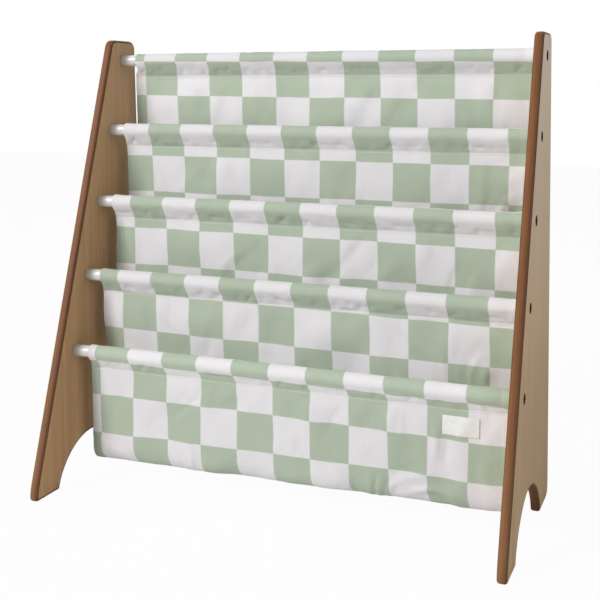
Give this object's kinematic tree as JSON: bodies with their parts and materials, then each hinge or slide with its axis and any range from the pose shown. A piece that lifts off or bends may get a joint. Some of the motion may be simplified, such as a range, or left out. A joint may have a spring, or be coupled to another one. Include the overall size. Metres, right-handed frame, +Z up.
{
  "type": "sling bookshelf",
  "caption": "Child's sling bookshelf: two leaning wooden side panels joined by white steel rods that carry hanging cloth pockets in a green and white check.",
  "frame": {"origin": "centre of the footprint, on the floor", "axes": "+X to the shelf's right as seen from the front, +Y towards its back, +Z up; the books face -Y"},
  "size_m": [0.62, 0.264, 0.6],
  "materials": {
    "board": "matte light walnut faces with browner rounded edges",
    "rod_paint": "glossy white powder coat",
    "plug": "moulded nylon",
    "bolt": "black oxide",
    "check_cloth": "plain weave canvas printed with a sage green and off-white check",
    "label_cloth": "blank woven tape"
  },
  "bodies": {
    "root": {"side_panel_left": "board", "side_panel_right": "board", "rod_1": "rod_paint", "rod_2": "rod_paint", "rod_3": "rod_paint", "rod_4": "rod_paint", "rod_5": "rod_paint", "rod_plug_left_1": "plug", "bolt_left_1": "bolt", "rod_plug_left_2": "plug", "bolt_left_2": "bolt", "rod_plug_left_3": "plug", "bolt_left_3": "bolt", "rod_plug_left_4": "plug", "bolt_left_4": "bolt", "rod_plug_left_5": "plug", "bolt_left_5": "bolt", "rod_plug_right_1": "plug", "bolt_right_1": "bolt", "rod_plug_right_2": "plug", "bolt_right_2": "bolt", "rod_plug_right_3": "plug", "bolt_right_3": "bolt", "rod_plug_right_4": "plug", "bolt_right_4": "bolt", "rod_plug_right_5": "plug", "bolt_right_5": "bolt", "sleeve_1": "check_cloth", "sleeve_2": "check_cloth", "sleeve_3": "check_cloth", "sleeve_4": "check_cloth", "sleeve_5": "check_cloth", "pocket_1": "check_cloth", "pocket_2": "check_cloth", "pocket_3": "check_cloth", "pocket_4": "check_cloth", "blank_label": "label_cloth"}
  },
  "joints": []
}
